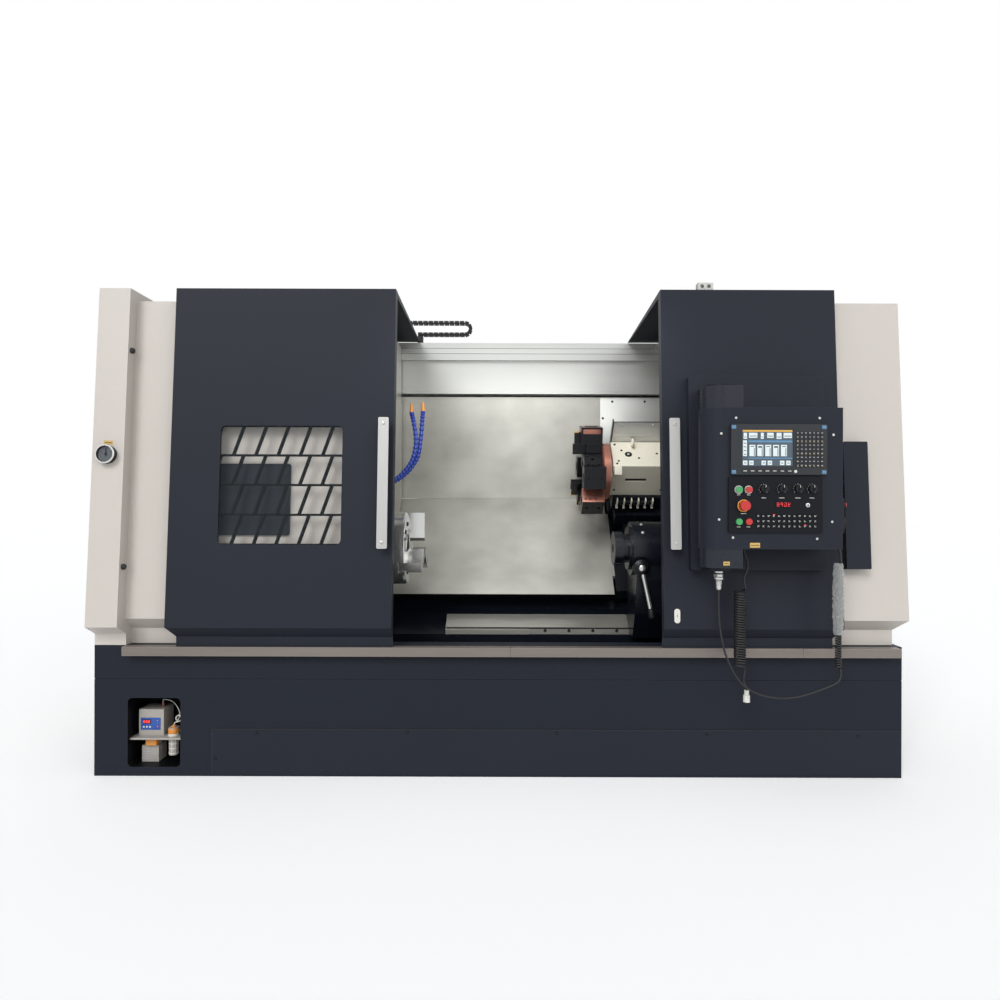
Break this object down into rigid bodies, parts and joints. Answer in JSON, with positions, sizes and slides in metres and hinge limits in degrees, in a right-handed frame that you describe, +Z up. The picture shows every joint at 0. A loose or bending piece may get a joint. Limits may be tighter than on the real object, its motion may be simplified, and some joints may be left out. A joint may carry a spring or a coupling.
{
  "type": "cnc turning lathe",
  "caption": "Enclosed slant-bed turning lathe: sliding doors, jaw chuck, tool turret, tailstock and a swivelling control pendant on the right door.",
  "frame": {"origin": "middle of the base's footprint, on the floor", "axes": "+X along the spindle axis from the headstock to the tailstock, +Y to the back, +Z up"},
  "size_m": [3.628, 2.242, 2.271],
  "materials": {
    "navy_paint": "satin",
    "cream_paint": "satin",
    "black_plastic": "matte",
    "rail_steel": "brushed",
    "stainless": "brushed",
    "machine_iron": "painted",
    "way_steel": "ground",
    "chuck_steel": "ground",
    "turret_paint": "satin",
    "tool_steel": "oiled",
    "pane": "clear",
    "handle_alloy": "anodised",
    "display_grey": "matte",
    "panel_grey": "matte",
    "red_plastic": "gloss",
    "green_plastic": "gloss",
    "white_plastic": "matte",
    "hose_blue": "matte",
    "cord_rubber": "matte"
  },
  "bodies": {
    "frame": {"base_frame": "navy_paint", "kick_panel": "navy_paint", "door_rail": "rail_steel", "bed_casting": "machine_iron", "tailstock_way": "way_steel", "headstock": "machine_iron", "inner_wall": "stainless", "left_end_cover": "cream_paint", "left_front_panel": "cream_paint", "access_cover": "navy_paint", "right_end_cover": "cream_paint", "cable_box": "navy_paint", "lintel_beam": "stainless", "rear_cover": "cream_paint", "gauge_body": "black_plastic", "lubricator": "white_plastic", "coolant_hoses": "hose_blue", "drag_chain": "black_plastic"},
    "needle": {"gauge_needle": "black_plastic"},
    "cabinet": {"cabinet_door": "cream_paint"},
    "left_door": {"left_door_panel": "navy_paint", "left_door_window": "pane", "window_lattice": "panel_grey", "left_door_handle": "handle_alloy"},
    "right_door": {"right_door_panel": "navy_paint", "right_door_handle": "handle_alloy", "pendant_mount": "navy_paint"},
    "pendant": {"pendant_post": "navy_paint", "pendant_box": "navy_paint", "screen_unit": "display_grey", "machine_panel": "panel_grey", "handheld_unit": "black_plastic", "handset_cord": "cord_rubber", "handset_curl": "cord_rubber", "spare_cord": "cord_rubber", "spare_curl": "cord_rubber", "spare_plug": "white_plastic"},
    "mode": {"mode_knob": "black_plastic"},
    "feed": {"feed_knob": "black_plastic"},
    "rapid": {"rapid_knob": "black_plastic"},
    "speed": {"speed_knob": "black_plastic"},
    "stop": {"stop_button": "red_plastic"},
    "power_on": {"power_on_button": "green_plastic"},
    "power_off": {"power_off_button": "red_plastic"},
    "start": {"start_button": "green_plastic"},
    "hold": {"hold_button": "red_plastic"},
    "spindle": {"spindle": "way_steel", "chuck_body": "chuck_steel"},
    "jaw_a": {"jaw_1": "chuck_steel"},
    "jaw_b": {"jaw_2": "chuck_steel"},
    "jaw_c": {"jaw_3": "chuck_steel"},
    "carriage": {"saddle": "machine_iron", "way_shield": "stainless"},
    "cross": {"cross_slide": "machine_iron", "turret_housing": "turret_paint"},
    "turret": {"turret_disc": "tool_steel", "tool_blocks": "tool_steel"},
    "tailstock": {"tailstock_body": "machine_iron"},
    "quill": {"quill": "machine_iron"},
    "lever": {"clamp_lever": "black_plastic"}
  },
  "joints": [
    {"name": "left_door_slide", "type": "slide", "parent": "frame", "child": "left_door", "axis": [1, 0, 0], "range_m": [0, 0.588], "deforming": ["drag_chain"]},
    {"name": "right_door_slide", "type": "slide", "parent": "frame", "child": "right_door", "axis": [-1, 0, 0], "range_m": [0, 0.598]},
    {"name": "pendant_swivel", "type": "hinge", "parent": "right_door", "child": "pendant", "pos_m": [0.924, -1.155, 1.3], "axis": [0, 0, -1], "range_deg": [0, 80]},
    {"name": "gauge_needle_turn", "type": "hinge", "parent": "frame", "child": "needle", "pos_m": [-1.73, -0.97393, 1.43092], "axis": [0, -0.9973, 0.074], "range_deg": [-135, 135]},
    {"name": "cabinet_hinge", "type": "hinge", "parent": "frame", "child": "cabinet", "pos_m": [-0.15, 0.957, 1.35], "axis": [0, 0, 1], "range_deg": [0, 110]},
    {"name": "mode_turn", "type": "hinge", "parent": "pendant", "child": "mode", "pos_m": [1.079, -1.24, 1.282], "axis": [0, 1, 0], "range_deg": [0, 120]},
    {"name": "feed_turn", "type": "hinge", "parent": "pendant", "child": "feed", "pos_m": [1.153, -1.24, 1.282], "axis": [0, 1, 0], "range_deg": [0, 120]},
    {"name": "rapid_turn", "type": "hinge", "parent": "pendant", "child": "rapid", "pos_m": [1.218, -1.24, 1.282], "axis": [0, 1, 0], "range_deg": [0, 120]},
    {"name": "speed_turn", "type": "hinge", "parent": "pendant", "child": "speed", "pos_m": [1.275, -1.24, 1.282], "axis": [0, 1, 0], "range_deg": [0, 120]},
    {"name": "stop_press", "type": "slide", "parent": "pendant", "child": "stop", "axis": [0, 1, 0], "range_m": [0, 0.006], "stiffness_N_per_m": 600},
    {"name": "power_on_press", "type": "slide", "parent": "pendant", "child": "power_on", "axis": [0, 1, 0], "range_m": [0, 0.004], "stiffness_N_per_m": 400},
    {"name": "power_off_press", "type": "slide", "parent": "pendant", "child": "power_off", "axis": [0, 1, 0], "range_m": [0, 0.004], "stiffness_N_per_m": 400},
    {"name": "start_press", "type": "slide", "parent": "pendant", "child": "start", "axis": [0, 1, 0], "range_m": [0, 0.004], "stiffness_N_per_m": 400},
    {"name": "hold_press", "type": "slide", "parent": "pendant", "child": "hold", "axis": [0, 1, 0], "range_m": [0, 0.004], "stiffness_N_per_m": 400},
    {"name": "spindle_turn", "type": "hinge", "parent": "frame", "child": "spindle", "pos_m": [-0.9, -0.65, 1.004], "axis": [1, 0, 0], "continuous": true},
    {"name": "jaw_a_grip", "type": "slide", "parent": "spindle", "child": "jaw_a", "axis": [0, 0, -1], "range_m": [0, 0.008]},
    {"name": "jaw_b_grip", "type": "slide", "parent": "spindle", "child": "jaw_b", "axis": [0, 0.866, 0.5], "range_m": [0, 0.008]},
    {"name": "jaw_c_grip", "type": "slide", "parent": "spindle", "child": "jaw_c", "axis": [0, -0.866, 0.5], "range_m": [0, 0.008]},
    {"name": "carriage_feed", "type": "slide", "parent": "frame", "child": "carriage", "axis": [-1, 0, 0], "range_m": [0, 0.65]},
    {"name": "cross_feed", "type": "slide", "parent": "carriage", "child": "cross", "axis": [0, -0.682, -0.7314], "range_m": [0, 0.26]},
    {"name": "turret_index", "type": "hinge", "parent": "cross", "child": "turret", "pos_m": [0.6, -0.28513, 1.39527], "axis": [1, 0, 0], "continuous": true},
    {"name": "tailstock_slide", "type": "slide", "parent": "frame", "child": "tailstock", "axis": [-1, 0, 0], "range_m": [0, 0.4]},
    {"name": "quill_feed", "type": "slide", "parent": "tailstock", "child": "quill", "axis": [-1, 0, 0], "range_m": [0, 0.12]},
    {"name": "clamp_turn", "type": "hinge", "parent": "tailstock", "child": "lever", "pos_m": [0.667, -0.777, 0.921], "axis": [0, 1, 0], "range_deg": [0, 60]}
  ],
  "couplings": [
    {"joint": "jaw_b_grip", "follows": "jaw_a_grip", "ratio": 1},
    {"joint": "jaw_c_grip", "follows": "jaw_a_grip", "ratio": 1}
  ]
}
